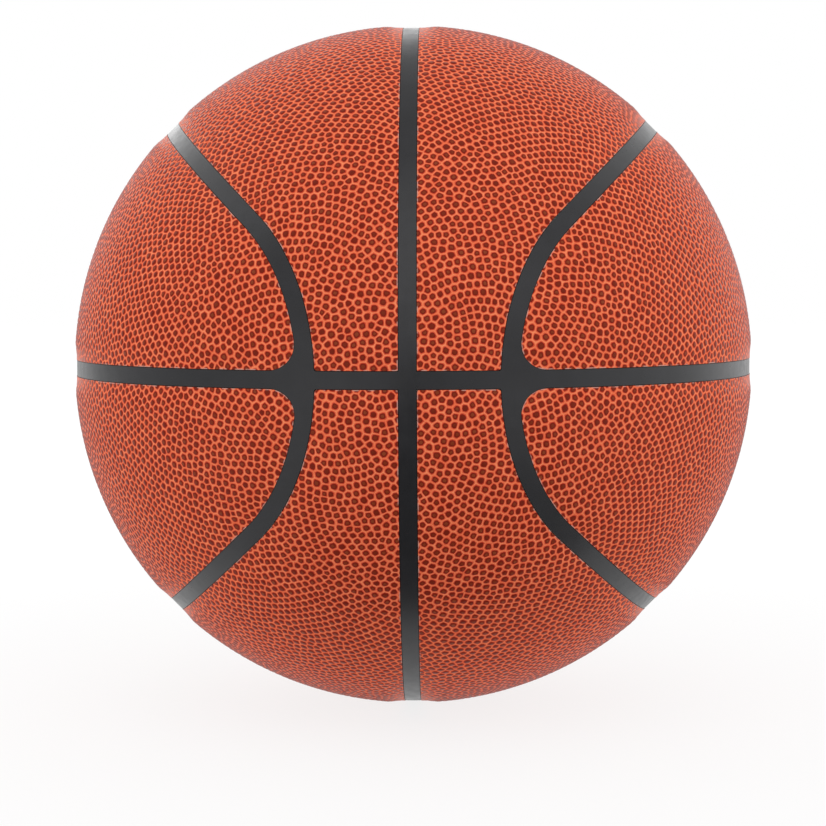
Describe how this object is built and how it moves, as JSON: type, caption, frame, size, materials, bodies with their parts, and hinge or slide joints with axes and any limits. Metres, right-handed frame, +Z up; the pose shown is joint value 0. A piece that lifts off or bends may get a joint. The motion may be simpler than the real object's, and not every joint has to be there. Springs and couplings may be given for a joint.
{
  "type": "basketball",
  "caption": "Full-size pebbled basketball: cover panels on foam, set between the ribs of a rubber carcass over a wound layer and a bladder, with an inflation valve at the back.",
  "frame": {"origin": "centre of the ball", "axes": "+Z up through the upright seam's top, +X right through the level seam, +Y out of the back along the valve's axis; the pictured front faces -Y"},
  "size_m": [0.2414, 0.241, 0.2414],
  "materials": {
    "cover": "pebbled composite leather, satin",
    "foam": "soft sponge backing",
    "carcass": "moulded, matte",
    "winding": "wound nylon thread in latex",
    "bladder": "butyl rubber, satin",
    "valve": "moulded, matte"
  },
  "bodies": {
    "root": {"side_panel_upper_right": "cover", "side_panel_upper_left": "cover", "side_panel_lower_right": "cover", "side_panel_lower_left": "cover", "centre_panel_upper_right": "cover", "centre_panel_upper_left": "cover", "centre_panel_lower_right": "cover", "centre_panel_lower_left": "cover", "side_foam_upper_right": "foam", "side_foam_upper_left": "foam", "side_foam_lower_right": "foam", "side_foam_lower_left": "foam", "centre_foam_upper_right": "foam", "centre_foam_upper_left": "foam", "centre_foam_lower_right": "foam", "centre_foam_lower_left": "foam", "carcass": "carcass", "nylon_winding": "winding", "bladder": "bladder", "valve_housing": "valve", "valve_core": "valve"}
  },
  "joints": []
}
